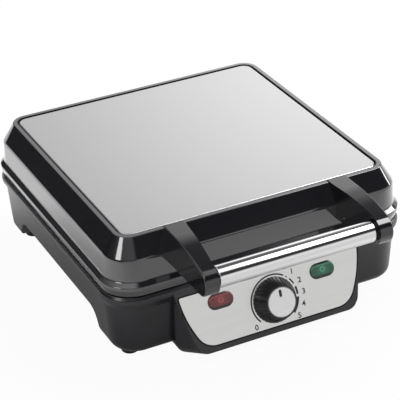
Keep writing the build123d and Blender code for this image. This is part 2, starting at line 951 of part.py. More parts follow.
with BuildPart() as base_shell:
    add(base_form(0))
    add(base_form(base_wall), mode=Mode.SUBTRACT)
    bead_inside = [
        ((base_wall_reach - base_wall / 2, base_wall_level), 0),
        ((wall_reach(base_rim) - base_wall / 2, base_rim), 0),
    ]
    add(swept_ring(base_bead + bead_inside))
    # ledge under the lower cooking plate's flange
    ledge = level(lower_face - flange_sheet)
    with BuildSketch(ledge):
        square(wall_reach(base_rim) - base_wall / 2)
    extrude(amount=-ledge_sheet)
    with BuildSketch(ledge):
        square(ledge_reach)
    extrude(amount=-ledge_sheet, mode=Mode.SUBTRACT)
    # bosses up to the heat shield, and a frame round the bottom opening
    with BuildSketch(level(arch_floor)):
        with Locations(plate_posts):
            Circle(mount_boss_radius)
    extrude(amount=lower_boss_foot - arch_floor)
    with BuildSketch(level(arch_floor)):
        cover_outline(cover_half_x, cover_half_y)
    extrude(amount=cover_frame)
    with BuildSketch(level(arch_level)):
        cover_outline(cover_half_x - cover_lap, cover_half_y - cover_lap)
    extrude(amount=base_wall + cover_frame, mode=Mode.SUBTRACT)
    with BuildSketch(level(arch_level)):
        cover_outline(cover_half_x + cover_gap, cover_half_y + cover_gap)
    extrude(amount=cover_sheet, mode=Mode.SUBTRACT)
    # hinge ears on both sides of each knuckle
    for side in (-1, 1):
        for inner in (-1, 1):
            edge = side * hinge_x + inner * (knuckle_width / 2 + ear_gap)
            with BuildSketch(side_view(edge)):
                with Locations((hinge_y, hinge_level)):
                    Circle(knuckle_radius)
                with BuildLine():
                    Polyline(
                        (half_side + base_wall_reach - base_wall / 2, base_rim - rim_cover),
                        (hinge_y, base_rim - rim_cover),
                        round_hinge(ear_turn, -1),
                        (half_side + base_wall_reach - base_wall / 2, base_wall_level - ear_web),
                        close=True,
                    )
                make_face()
            extrude(amount=inner * ear_width)
    with BuildSketch(side_view(-2 * half_side)):
        with Locations((hinge_y, hinge_level)):
            Circle(pin_radius_hinge + pin_clearance)
    extrude(amount=4 * half_side, mode=Mode.SUBTRACT)
    # pad and hole for the cord gland, and the cable's hole
    with BuildSketch(front_view(gland_pad_face)):
        with Locations((gland_x, gland_level)):
            Circle(gland_pad_radius)
    extrude(amount=gland_pad_face - gland_pad_back)
    with BuildSketch(front_view(gland_pad_face)):
        with Locations((gland_x, gland_level)):
            Circle(gland_body + spigot_clearance)
    extrude(amount=2 * (gland_pad_face - gland_pad_back), mode=Mode.SUBTRACT)
    with BuildSketch(front_view(hinge_y)):
        with Locations((-cable_side, base_cable_level)):
            Circle(cable_radius + hole_clearance)
    extrude(amount=hinge_y - cable_inside_y, mode=Mode.SUBTRACT)
    # panel recess with a groove round it, neck hole and lens holes
    extrude(panel_outline(panel_gap), amount=-panel_sheet, mode=Mode.SUBTRACT)
    with BuildSketch(panel):
        add(panel_outline(panel_gap))
        add(panel_outline(-panel_gap), mode=Mode.SUBTRACT)
    extrude(amount=-panel_groove, mode=Mode.SUBTRACT)
    with BuildSketch(knob_plane):
        Circle(neck_radius + neck_clearance)
    extrude(amount=-panel_proud - base_wall, mode=Mode.SUBTRACT)
    with BuildSketch(panel):
        lens_outline(lens_clearance)
    extrude(amount=-panel_proud - base_wall, mode=Mode.SUBTRACT)
    # screw and foot holes
    with BuildSketch(level(arch_level)):
        with Locations(plate_posts):
            Circle(screw_head_radius + hole_clearance)
    extrude(amount=screw_recess, mode=Mode.SUBTRACT)
    with BuildSketch(level(arch_level)):
        with Locations(plate_posts):
            Circle(screw_radius + hole_clearance)
    extrude(amount=lower_boss_foot - arch_level, mode=Mode.SUBTRACT)
    with BuildSketch(level(arch_level + cover_sheet)):
        with Locations(cover_screw_spots):
            Circle(small_screw_radius + thread_clearance)
    extrude(amount=cover_screw_depth + small_screw_tip, mode=Mode.SUBTRACT)
    with BuildSketch(level(leg_level)):
        with Locations(list(foot_spots.values())):
            Circle(foot_stem_radius + pin_clearance)
    extrude(amount=foot_stem, mode=Mode.SUBTRACT)
save(base_shell, "base_shell")

for corner, place in foot_spots.items():
    with BuildPart() as foot:
        with BuildSketch(level(0)):
            with Locations(place):
                Circle(foot_radius)
        extrude(amount=leg_level)
        fillet(foot.edges().group_by(Axis.Z)[0], foot_round)
        with BuildSketch(level(leg_level)):
            with Locations(place):
                Circle(foot_stem_radius)
        extrude(amount=foot_stem)
    save(foot, f"foot_{corner}")


# ---- bottom cover
with BuildPart() as bottom_cover:
    with BuildSketch(level(arch_level)):
        cover_outline(cover_half_x, cover_half_y)
    extrude(amount=cover_sheet)
    with BuildSketch(level(arch_level)):
        with GridLocations(cover_half_x, slot_pitch, 2, slots_per_row):
            SlotOverall(slot_length, slot_width)
        with Locations(cover_screw_spots):
            Circle(small_screw_radius + hole_clearance)
    extrude(amount=cover_sheet, mode=Mode.SUBTRACT)
save(bottom_cover, "bottom_cover")

with BuildPart() as bottom_cover_screws:
    for x, y in cover_screw_spots:
        spot = Plane((x, mid_y + y, arch_level), x_dir=(1, 0, 0), z_dir=(0, 0, -1))
        shank = cover_sheet + cover_screw_depth
        add(screw(spot, small_screw_radius, shank, small_screw_head_radius, small_screw_head))
save(bottom_cover_screws, "bottom_cover_screws")


# ---- control panel, lights and thermostat
with BuildPart() as control_panel:
    extrude(panel_outline(0), amount=-panel_sheet)
    fillet(control_panel.faces().filter_by(panel).sort_by(Axis.Y)[0].edges(), panel_edge_round)
    with BuildSketch(panel):
        lens_outline(lens_clearance)
    extrude(amount=-panel_sheet, mode=Mode.SUBTRACT)
    with BuildSketch(knob_plane):
        Circle(neck_radius + neck_clearance)
    extrude(amount=-panel_sheet, mode=Mode.SUBTRACT)
save(control_panel, "control_panel")


def lens(place):
    """A clear lens with a flange behind the wall and a sleeve for its lamp."""
    with BuildPart() as body:
        with BuildSketch(housing_back):
            with Locations(place):
                SlotOverall(lens_length, lens_width)
        extrude(amount=panel_proud + base_wall + lens_proud)
        fillet(body.faces().filter_by(panel).sort_by(Axis.Y)[0].edges(), lens_round)
        with BuildSketch(housing_back):
            with Locations(place):
                SlotOverall(lens_length + 2 * lens_flange, lens_width + 2 * lens_flange)
        extrude(amount=-lens_flange_sheet)
        with BuildSketch(housing_back):
            with Locations(place):
                Circle(lamp_radius + lens_sleeve)
        extrude(amount=-lamp_length)
        with BuildSketch(housing_back.offset(-lamp_length)):
            with Locations(place):
                Circle(lamp_radius + pin_clearance)
        extrude(amount=lamp_length + lens_proud, mode=Mode.SUBTRACT)
    return body


def lamp(place):
    """A neon lamp pushed into the lens's sleeve."""
    with BuildPart() as body:
        with BuildSketch(housing_back.offset(lens_proud - lens_skin)):
            with Locations(place):
                Circle(lamp_radius)
        extrude(amount=-lamp_length)
        fillet(body.edges().filter_by(GeomType.CIRCLE), lamp_radius * 0.4)
    return body


for name, place in zip(("power", "ready"), lens_rows):
    save(lens(place), f"{name}_lens")
    save(lamp(place), f"{name}_lamp")

with BuildPart() as thermostat_body:
    with BuildSketch(knob_back):
        RectangleRounded(thermostat_width, thermostat_height, 2)
    extrude(amount=-thermostat_depth)
    with BuildSketch(knob_back):
        Circle(neck_radius)
    extrude(amount=panel_proud + base_wall + neck_stand)
    with BuildSketch(knob_plane.offset(neck_stand)):
        Circle(shaft_radius + shaft_clearance)
    extrude(amount=-neck_stand - panel_proud - base_wall - thermostat_depth / 2, mode=Mode.SUBTRACT)
save(thermostat_body, "thermostat_body")

with BuildPart() as thermostat_nut:
    with BuildSketch(knob_plane):
        RegularPolygon(nut_flats / 2, 6, major_radius=False)
        Circle(neck_radius + thread_clearance, mode=Mode.SUBTRACT)
    extrude(amount=nut_thickness)
save(thermostat_nut, "thermostat_nut")

with BuildPart() as thermostat_bracket:
    strip_depth = -panel_proud - base_wall - thermostat_depth - bracket_sheet / 2
    low = knob_plane.from_local_coords((0, -thermostat_height / 4, strip_depth))
    high = knob_plane.from_local_coords((0, thermostat_height / 2 + bracket_rise, strip_depth))
    plate_back = lower_face - casting_back - bracket_sheet / 2
    plate_edge = -half_side - dish_reach
    with BuildSketch(side_view(-bracket_width / 2)):
        with BuildLine():
            FilletPolyline(
                (low.Y - mid_y, low.Z), (high.Y - mid_y, high.Z),
                (plate_edge + bracket_foot[0], plate_back), (plate_edge + bracket_foot[1], plate_back),
                radius=[bracket_bend, bracket_bend],
            )
        trace(line_width=bracket_sheet)
    extrude(amount=bracket_width)
save(thermostat_bracket, "thermostat_bracket")


# ---- knob, cap and shaft
def fluted(radius):
    """A circle with flutes cut in it, in the current sketch."""
    Circle(radius)
    with PolarLocations(radius, knob_flutes):
        Circle(radius * flute_share, mode=Mode.SUBTRACT)


with BuildPart() as control_knob:
    with BuildSketch(knob_plane.offset(knob_lift)):
        fluted(knob_base_radius)
    with BuildSketch(knob_plane.offset(knob_depth)):
        fluted(knob_top_radius)
    loft(ruled=True)
    with BuildSketch(knob_plane.offset(knob_depth)):
        Circle(cap_radius + cap_clearance)
    extrude(amount=-cap_recess, mode=Mode.SUBTRACT)
    with BuildSketch(knob_plane.offset(knob_lift)):
        Circle(knob_base_radius - knob_wall)
        Circle(knob_hub_radius, mode=Mode.SUBTRACT)
    extrude(amount=knob_depth - knob_lift - knob_wall - cap_recess, taper=knob_taper, mode=Mode.SUBTRACT)
    with BuildSketch(knob_plane.offset(knob_lift)):
        Circle(nut_flats / 2 / cos(radians(30)) + nut_clearance)
    extrude(amount=neck_stand + nut_clearance - knob_lift, mode=Mode.SUBTRACT)
    with BuildSketch(knob_plane):
        Circle(shaft_radius + shaft_clearance)
    extrude(amount=shaft_top, mode=Mode.SUBTRACT)
save(control_knob, "control_knob")

with BuildPart() as knob_cap:
    with BuildSketch(knob_plane.offset(knob_depth - cap_recess)):
        Circle(cap_radius)
    extrude(amount=cap_sheet)
    fillet(knob_cap.edges().group_by(Axis(knob_plane.origin, knob_plane.z_dir))[-1], cap_round)
save(knob_cap, "knob_cap")

with BuildPart() as thermostat_shaft:
    with BuildSketch(knob_plane.offset(shaft_top - shaft_end_gap)):
        Circle(shaft_radius)
    extrude(amount=2 * shaft_end_gap - shaft_top - panel_proud - base_wall - thermostat_depth / 2)
save(thermostat_shaft, "thermostat_shaft")


# ---- hinge pins
for side, hand in ((-1, "left"), (1, "right")):
    with BuildPart() as hinge_pin:
        outer = side * (hinge_x + pin_reach)
        with BuildSketch(side_view(outer)):
            with Locations((hinge_y, hinge_level)):
                Circle(pin_radius_hinge)
        extrude(amount=-side * 2 * pin_reach)
        with BuildSketch(side_view(outer)):
            with Locations((hinge_y, hinge_level)):
                Circle(pin_head_radius)
        extrude(amount=side * pin_head)
        fillet(hinge_pin.edges().group_by(Axis.X)[-1 if side > 0 else 0], pin_head * 0.4)
    save(hinge_pin, f"hinge_pin_{hand}")


# ---- cord gland, terminal block and wiring
with BuildPart() as cord_gland:
    with BuildSketch(front_view(gland_pad_face)):
        with Locations((gland_x, gland_level)):
            Circle(gland_flange_radius)
    extrude(amount=-gland_flange)
    fillet(cord_gland.edges().group_by(Axis.Y)[-1], gland_flange * 0.4)
    with BuildSketch(front_view(gland_pad_face)):
        with Locations((gland_x, gland_level)):
            Circle(gland_body)
    extrude(amount=gland_pad_face - gland_pad_back + gland_nut + gland_end)
    with BuildSketch(front_view(gland_pad_face + gland_flange)):
        with Locations((gland_x, gland_level)):
            Circle(gland_bore)
    extrude(amount=4 * half_side, mode=Mode.SUBTRACT)
save(cord_gland, "cord_gland")

with BuildPart() as gland_nut_part:
    with BuildSketch(front_view(gland_pad_back)):
        with Locations((gland_x, gland_level)):
            RegularPolygon(gland_nut_flats / 2, 6, major_radius=False)
            Circle(gland_body + thread_clearance, mode=Mode.SUBTRACT)
    extrude(amount=gland_nut)
save(gland_nut_part, "gland_nut")

with BuildPart() as terminal_block:
    with BuildSketch(level(arch_floor)):
        with Locations((block_x, block_y)):
            Rectangle(block_length, block_depth)
    extrude(amount=block_height)
    fillet(terminal_block.edges().filter_by(Axis.Z), 1)
    with BuildSketch(level(arch_floor + block_height)):
        with Locations((block_x, block_y)):
            with GridLocations(block_length / 3, 0, 3, 1):
                Circle(block_screw_radius)
    extrude(amount=-block_height / 3, mode=Mode.SUBTRACT)
save(terminal_block, "terminal_block")


def tube(route, radius, bends):
    """A round cable along straight runs joined by arcs."""
    with BuildPart() as cable:
        with BuildLine() as centre:
            FilletPolyline(route, radius=bends)
        with BuildSketch(Plane(route[0], z_dir=Vector(*route[1]) - Vector(*route[0]))):
            Circle(radius)
        sweep(path=centre.line)
    return cable.part


rear = mid_y + hinge_y
with BuildPart() as lid_wiring:
    lid_cable = [
        (cable_joint_gap / 2, rear, hinge_level), (cable_side, rear, hinge_level),
        (cable_side, rear, lid_cable_level), (cable_side, mid_y + cable_inside_y, lid_cable_level),
    ]
    add(tube(lid_cable, cable_radius, cable_bend))
save(lid_wiring, "lid_wiring")

block_side = block_x - block_length / 2 - wire_gap
element_level = lower_face - element_offset
pin_end = element_end_y + pin_length
wire_level = arch_floor + block_height / 3
with BuildPart() as base_wiring:
    base_cable = [
        (-cable_side, mid_y + cable_inside_y, base_cable_level), (-cable_side, rear, base_cable_level),
        (-cable_side, rear, hinge_level), (-cable_joint_gap / 2, rear, hinge_level),
    ]
    add(tube(base_cable, cable_radius, cable_bend))
    # leads from the element's pins to the terminal block, one above the other
    for side, height in ((1, wire_level + wire_step), (-1, wire_level - wire_step)):
        lead = [
            (side * element_end_x, mid_y + pin_end + wire_gap, element_level),
            (side * element_end_x, mid_y + block_y, element_level),
            (side * element_end_x, mid_y + block_y, height),
            (block_side, mid_y + block_y, height),
        ]
        add(tube(lead, wire_radius, wire_bend))
    # feed from the terminal block to the thermostat, along the floor beside the cover
    wire_floor = arch_floor + wire_radius + wire_gap
    feed_y = -half_side + bracket_foot[0]
    back_face = knob_plane.from_local_coords((0, 0, -panel_proud - base_wall - thermostat_depth))
    feed_end = back_face.Y + (back_face.Z - wire_floor) * -tan(radians(panel_tilt)) + 2 * wire_gap
    feed = [
        (block_x, mid_y + block_y - block_depth / 2 - wire_gap, wire_floor),
        (block_x, mid_y + feed_y, wire_floor),
        (bracket_width, mid_y + feed_y, wire_floor),
        (bracket_width, feed_end, wire_floor),
    ]
    add(tube(feed, wire_radius, wire_bend))
save(base_wiring, "base_wiring")
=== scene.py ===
import json
from math import cos, pi, radians, sin

import bmesh
import bpy
from mathutils import Matrix, Vector


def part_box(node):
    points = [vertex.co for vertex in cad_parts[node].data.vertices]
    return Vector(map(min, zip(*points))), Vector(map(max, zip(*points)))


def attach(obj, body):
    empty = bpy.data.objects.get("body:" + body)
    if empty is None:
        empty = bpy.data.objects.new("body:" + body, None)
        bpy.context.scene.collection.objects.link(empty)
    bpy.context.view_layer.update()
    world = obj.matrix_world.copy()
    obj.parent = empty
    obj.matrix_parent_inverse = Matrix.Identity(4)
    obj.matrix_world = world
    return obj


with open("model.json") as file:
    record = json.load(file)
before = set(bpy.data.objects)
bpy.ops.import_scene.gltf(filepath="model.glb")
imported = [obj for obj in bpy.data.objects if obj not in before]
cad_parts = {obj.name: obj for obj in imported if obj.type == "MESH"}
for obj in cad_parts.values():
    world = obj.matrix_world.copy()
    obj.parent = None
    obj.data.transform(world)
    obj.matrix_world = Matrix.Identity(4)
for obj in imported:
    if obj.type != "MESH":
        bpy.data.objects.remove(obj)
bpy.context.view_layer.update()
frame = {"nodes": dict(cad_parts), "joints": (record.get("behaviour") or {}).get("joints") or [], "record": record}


# ---- shader maths written as expressions
class Value:
    """One socket of a shader tree, usable in Python arithmetic."""

    def __init__(self, finish, socket):
        self.finish = finish
        self.socket = socket

    def _math(self, operation, *values):
        return self.finish.node("ShaderNodeMath", {"operation": operation}, dict(enumerate(values)))

    def __add__(self, other):
        return self._math("ADD", self, other)

    __radd__ = __add__

    def __sub__(self, other):
        return self._math("SUBTRACT", self, other)

    def __rsub__(self, other):
        return self._math("SUBTRACT", other, self)

    def __mul__(self, other):
        return self._math("MULTIPLY", self, other)

    __rmul__ = __mul__

    def __truediv__(self, other):
        return self._math("DIVIDE", self, other)

    def __rtruediv__(self, other):
        return self._math("DIVIDE", other, self)

    def __pow__(self, other):
        return self._math("POWER", self, other)

    def __abs__(self):
        return self._math("ABSOLUTE", self)

    def at_least(self, other):
        return self._math("MAXIMUM", self, other)

    def angle_with(self, other):
        """Angle of the direction (self, other), in radians from the other's axis."""
        return self._math("ARCTAN2", self, other)

    def fade(self, low, high, out_low=0.0, out_high=1.0):
        """Smooth step from out_low to out_high while the value goes from low to high."""
        return self.finish.node(
            "ShaderNodeMapRange",
            {"interpolation_type": "SMOOTHSTEP"},
            {"Value": self, "From Min": low, "From Max": high, "To Min": out_low, "To Max": out_high},
        )


class Finish:
    """A material or world under construction."""

    def __init__(self, tree):
        self.tree = tree

    def node(self, kind, settings=None, sockets=None, out=0):
        """A new node with its settings, then its sockets; gives one output, where it has any."""
        made = self.tree.nodes.new(kind)
        for name, value in (settings or {}).items():
            if name == "stops":
                self._set_stops(made.color_ramp, value)
            else:
                setattr(made, name, value)
        for key, value in (sockets or {}).items():
            self.join(made.inputs[key], value)
        return Value(self, made.outputs[out]) if made.outputs else None

    def outputs(self, kind, names, sockets=None):
        """A new node of which several outputs are used."""
        first = self.node(kind, {}, sockets, out=names[0])
        return [Value(self, first.socket.node.outputs[name]) for name in names]

    def _set_stops(self, ramp, stops):
        """Grey stops of a ramp, each with its place and its level."""
        while len(ramp.elements) > 1:
            ramp.elements.remove(ramp.elements[-1])
        for number, (place, level) in enumerate(stops):
            stop = ramp.elements[0] if number == 0 else ramp.elements.new(place)
            stop.position = place
            stop.color = (*grey(level), 1)

    def join(self, socket, value):
        """Links a Value to a socket, or sets the socket to a constant."""
        if isinstance(value, Value):
            self.tree.links.new(value.socket, socket)
        elif socket.type == "RGBA":
            socket.default_value = (*value, 1)
        else:
            socket.default_value = value

    def place(self):
        """The point on the piece, in metres of the shared frame."""
        return self.node("ShaderNodeTexCoord", out="Object")

    def parts(self, vector):
        return self.outputs("ShaderNodeSeparateXYZ", ("X", "Y", "Z"), {0: vector})

    def vector(self, x, y, z):
        return self.node("ShaderNodeCombineXYZ", {}, {0: x, 1: y, 2: z})

    def vector_math(self, operation, sockets, out="Vector"):
        return self.node("ShaderNodeVectorMath", {"operation": operation}, sockets, out=out)

    def from_point(self, point):
        """The way from a fixed point to the point on the piece."""
        return self.vector_math("SUBTRACT", {0: self.place(), 1: tuple(point)})

    def scaled(self, vector, share):
        return self.vector_math("SCALE", {0: vector, "Scale": share})

    def length(self, vector):
        return self.vector_math("LENGTH", {0: vector}, out="Value")

    def along(self, vector, direction):
        """How far the vector reaches along a direction of length one."""
        return self.vector_math("DOT_PRODUCT", {0: vector, 1: tuple(direction)}, out="Value")

    def noise(self, vector, scale, detail=2.0, roughness=0.5):
        sockets = {"Vector": vector, "Scale": scale, "Detail": detail, "Roughness": roughness}
        return self.node("ShaderNodeTexNoise", {}, sockets)

    def cells(self, vector, scale):
        """Distance from the middle of the nearest of many small cells."""
        return self.node("ShaderNodeTexVoronoi", {}, {"Vector": vector, "Scale": scale})

    def mix(self, share, first, second):
        """From the first colour to the second; inputs 6 and 7 and output 2 are the node's colours."""
        return self.node("ShaderNodeMix", {"data_type": "RGBA"}, {0: share, 6: first, 7: second}, out=2)

    def bump(self, height, depth, strength):
        sockets = {"Height": height, "Distance": depth, "Strength": strength}
        return self.node("ShaderNodeBump", {}, sockets)


def grey(level):
    return (level, level, level)


def shaded(tint, share):
    return tuple(level * share for level in tint)


def material(name, **sockets):
    """Finish of a new material with a Principled surface and these sockets set."""
    made = bpy.data.materials.new(name)
    made.use_nodes = True
    finish = Finish(made.node_tree)
    finish.surface = made.node_tree.nodes["Principled BSDF"]
    finish.material = made
    dress(finish, **sockets)
    return finish


def dress(finish, **sockets):
    """Sets or links sockets of the finish's surface; an underscore stands for a space."""
    for name, value in sockets.items():
        finish.join(finish.surface.inputs[name.replace("_", " ")], value)


# ---- places taken from the frame
nodes = frame["nodes"]
knob_joint = next(joint for joint in frame["joints"] if joint["name"] == "knob_turn")
knob_centre = Vector(knob_joint["pos_m"])
panel_normal = Vector(knob_joint["axis"]).normalized()
panel_up = panel_normal.cross(Vector((1, 0, 0))).normalized()
if panel_up.z < 0:
    panel_up = -panel_up

cap_points = [vertex.co - knob_centre for vertex in nodes["knob_cap"].data.vertices]
cap_radius = max(point.cross(panel_normal).length for point in cap_points)
cap_lift = max(point.dot(panel_normal) for point in cap_points)


def on_panel(x, up, lift=0.0):
    """A point beside the knob's centre, on the steel face of the panel."""
    return knob_centre + Vector((x, 0, 0)) + panel_up * up + panel_normal * lift


# ---- finishes of the lid and its handle
PLATE_CORNER = 0.0086
PLATE_SHADE_INNER = 0.0014  # the painted groove shade fades out between these two distances from the plate
PLATE_SHADE_OUTER = 0.0018
PLATE_SHADE_DEPTH = 0.003  # and between these two depths below its top
PLATE_SHADE_END = 0.004


def plate_seam(finish, place):
    """Painted shade of the groove: 1 on the lid's ridge close beside the steel plate, 0 elsewhere."""
    x, y, z = finish.parts(place)
    low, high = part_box("lid_top_plate")
    beside = (abs(x) - ((high - low).x / 2 - PLATE_CORNER)).at_least(0.0)
    beyond = (abs(y - (low.y + high.y) / 2) - ((high - low).y / 2 - PLATE_CORNER)).at_least(0.0)
    outside = (beside**2 + beyond**2) ** 0.5 - PLATE_CORNER
    near_the_top = z.fade(high.z - PLATE_SHADE_END, high.z - PLATE_SHADE_DEPTH)
    return outside.fade(PLATE_SHADE_INNER, PLATE_SHADE_OUTER, 1.0, 0.0) * near_the_top


def gloss_black():
    """High gloss black moulding: a clear skin with a faint ripple, and painted shade in the groove round the steel
    plate.
    """
    finish = material("gloss_black", IOR=1.5, Coat_IOR=1.7, Coat_Roughness=0.02)
    place = finish.place()
    ripple = finish.noise(place, scale=38.0)
    scuff = finish.noise(place, scale=900.0, detail=3.0, roughness=0.6)
    patch = finish.noise(place, scale=16.0, detail=3.0)
    painted_shade_mask = plate_seam(finish, place)
    body = finish.mix(patch, (0.004, 0.004, 0.006), (0.008, 0.008, 0.010))
    dress(
        finish,
        # painted shade: beside the plate the ridge is painted black, metallic and without its coat
        Base_Color=finish.mix(painted_shade_mask, body, grey(0.0)),
        Metallic=painted_shade_mask,
        Coat_Weight=1.0 - painted_shade_mask,
        Roughness=0.05 + scuff * 0.05 + patch * 0.03,
        Normal=finish.bump(ripple, depth=0.00008, strength=0.5),
    )
    return finish.material


def arm_black():
    """Gloss black of the handle's arms, a little quieter than the lid."""
    finish = material("arm_black", IOR=1.5, Coat_Weight=0.5, Coat_IOR=1.6, Coat_Roughness=0.03)
    place = finish.place()
    ripple = finish.noise(place, scale=60.0)
    scuff = finish.noise(place, scale=900.0, detail=3.0, roughness=0.6)
    dress(
        finish,
        Base_Color=finish.mix(scuff, (0.004, 0.004, 0.0055), (0.008, 0.008, 0.010)),
        Roughness=0.06 + scuff * 0.06,
        Normal=finish.bump(ripple, depth=0.00008, strength=0.5),
    )
    return finish.material


def bright_metal():
    """Bright drawn tube of the handle, with a faint turned grain."""
    finish = material("bright_metal", Metallic=1.0)
    x, y, z = finish.parts(finish.place())
    turned = finish.noise(finish.vector(x * 1800.0, y * 30.0, z * 30.0), scale=1.0)
    dress(
        finish,
        Base_Color=finish.mix(turned, grey(0.73), grey(0.77)),
        Roughness=0.08 + turned * 0.04,
        Normal=finish.bump(turned, depth=0.000004, strength=0.3),
    )
    return finish.material


def brushed_steel(name, tint, roughness, contrast):
    """Steel sheet brushed from side to side: long fine streaks in colour, roughness and relief."""
    finish = material(name, Metallic=1.0)
    x, y, z = finish.parts(finish.place())
    fine_lines = finish.vector(x * 14.0, y * 2600.0, z * 2600.0)
    wide_lines = finish.vector(x * 3.0, y * 260.0, z * 260.0)
    streak = finish.noise(fine_lines, scale=1.0, detail=3.0, roughness=0.65)
    wide = finish.noise(wide_lines, scale=1.0)
    shade = (streak * 0.75 + wide * 0.25).fade(0.3, 0.7)
    dress(
        finish,
        Base_Color=finish.mix(shade, shaded(tint, 1 - contrast), shaded(tint, 1 + contrast)),
        Roughness=roughness + streak * 0.06,
        Normal=finish.bump(shade, depth=0.000004, strength=0.2),
    )
    return finish.material


# ---- finishes of the base, the panel and the knob
def satin_black():
    """Fine-grained satin black moulding of the base."""
    finish = material("satin_black", IOR=1.5)
    place = finish.place()
    grain = finish.noise(place, scale=2600.0, roughness=0.6)
    cloud = finish.noise(place, scale=22.0, detail=3.0)
    dress(
        finish,
        Base_Color=finish.mix(cloud, (0.008, 0.008, 0.010), (0.013, 0.013, 0.016)),
        Roughness=0.20 + grain * 0.08 + cloud * 0.03,
        Normal=finish.bump(grain, depth=0.00003, strength=0.6),
    )
    return finish.material


def foot_rubber():
    """Dull black rubber of the four feet."""
    finish = material("foot_rubber", IOR=1.5)
    grain = finish.noise(finish.place(), scale=2200.0, detail=3.0, roughness=0.7)
    dress(
        finish,
        Base_Color=finish.mix(grain, grey(0.012), grey(0.030)),
        Roughness=0.62 + grain * 0.2,
        Normal=finish.bump(grain, depth=0.00008, strength=0.6),
    )
    return finish.material


def ribbed_plastic():
    """Black plastic of the knob's ribbed skirt."""
    finish = material("knob_plastic", IOR=1.5)
    grain = finish.noise(finish.place(), scale=3000.0)
    dress(
        finish,
        Base_Color=finish.mix(grain, grey(0.009), grey(0.018)),
        Roughness=0.20 + grain * 0.10,
        Normal=finish.bump(grain, depth=0.00002, strength=0.5),
    )
    return finish.material


DISC_RIM_START = 0.0009  # the rim darkens between these two distances from the edge
DISC_RIM_END = 0.0001


def satin_disc():
    """Satin aluminium with turned rings about the knob's axis and a darker rim."""
    finish = material("satin_disc", Metallic=1.0)
    offset = finish.from_point(knob_centre)
    height = finish.along(offset, panel_normal)
    reach = (finish.length(offset) ** 2 - height**2).at_least(0.0) ** 0.5
    ring = finish.noise(finish.vector(reach * 5200.0, 0.0, 0.0), scale=1.0)
    turned = finish.mix(ring, grey(0.73), grey(0.81))
    rim = reach.fade(cap_radius - DISC_RIM_START, cap_radius - DISC_RIM_END)
    dress(
        finish,
        Base_Color=finish.mix(rim, turned, grey(0.25)),
        Roughness=0.36 + ring * 0.10,
        Normal=finish.bump(ring, depth=0.00001, strength=0.3),
    )
    return finish.material


LENS_END_RADIUS = 0.0064  # of the lens's round ends
LAMP_RING = 0.0019  # radius of the painted lit ring over the lamp


def coloured_lens(lens, name, deep, lit):
    """Clear coloured plastic over a lamp, with painted light and shade: painted shade at the rim, a painted
    highlight on the upper inner edge, a painted lit ring and glow in the middle.
    """
    finish = material(name, IOR=1.52)
    low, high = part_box(lens)
    offset = finish.from_point((low + high) / 2)
    sideways = finish.along(offset, (1.0, 0.0, 0.0))
    upwards = finish.along(offset, panel_up)
    past = (abs(sideways) - ((high - low).x / 2 - LENS_END_RADIUS)).at_least(0.0)
    reach = (past**2 + upwards**2) ** 0.5 / LENS_END_RADIUS
    middle = (sideways**2 + upwards**2) ** 0.5
    # painted shade round the rim, a painted highlight along the upper inner edge, painted lamp light in a ring and
    # a glow in the middle
    rim = reach.fade(0.62, 0.82)
    edge = abs(reach - 0.56).fade(0.04, 0.12, 1.0, 0.0) * upwards.fade(-0.001, 0.003)
    painted_lamp_ring = abs(middle - LAMP_RING).fade(0.0003, 0.0009, 1.0, 0.0)
    glow = middle.fade(0.0005, 0.0075, 1.0, 0.0)
    facet = finish.cells(finish.place(), scale=520.0)
    body = finish.mix(glow * 0.25 + facet * 0.1 + painted_lamp_ring * 0.6 + edge * 0.5, deep, lit)
    dress(
        finish,
        Base_Color=finish.mix(rim * 0.95, body, shaded(deep, 0.04)),
        Roughness=0.10 + facet * 0.10,
        Normal=finish.bump(facet, depth=0.0001, strength=0.25),
        Coat_Weight=0.1,
    )
    return finish.material


# ---- finishes of what is inside and behind
def coated_casting():
    """Dark non-stick coating with pale specks on a cast plate."""
    finish = material("coated_casting", IOR=1.5)
    place = finish.place()
    texture = finish.noise(place, scale=900.0, detail=4.0, roughness=0.6)
    speck = finish.cells(place, scale=420.0).fade(0.10, 0.16, 1.0, 0.0)
    dress(
        finish,
        Base_Color=finish.mix(speck * 0.5, (0.022, 0.022, 0.023), grey(0.20)),
        Roughness=0.34 + texture * 0.18,
        Normal=finish.bump(texture, depth=0.00006, strength=0.6),
    )
    return finish.material


def plain_metal(name, tint, roughness, grain_scale=1400.0):
    """Bare or plated metal, a little uneven in colour and grain."""
    finish = material(name, Metallic=1.0)
    place = finish.place()
    grain = finish.noise(place, scale=grain_scale, detail=3.0, roughness=0.6)
    patch = finish.noise(place, scale=60.0, detail=3.0)
    dress(
        finish,
        Base_Color=finish.mix(patch, shaded(tint, 0.86), tint),
        Roughness=roughness + grain * 0.12 + patch * 0.05,
        Normal=finish.bump(grain, depth=0.00003, strength=0.4),
    )
    return finish.material


def plain_plastic(name, tint, roughness):
    """Moulded plastic, ceramic or sleeve of one colour with a fine grain."""
    finish = material(name, IOR=1.5)
    place = finish.place()
    grain = finish.noise(place, scale=1800.0, detail=3.0, roughness=0.6)
    patch = finish.noise(place, scale=40.0)
    dress(
        finish,
        Base_Color=finish.mix(patch, shaded(tint, 0.88), tint),
        Roughness=roughness + grain * 0.15,
        Normal=finish.bump(grain, depth=0.00004, strength=0.5),
    )
    return finish.material


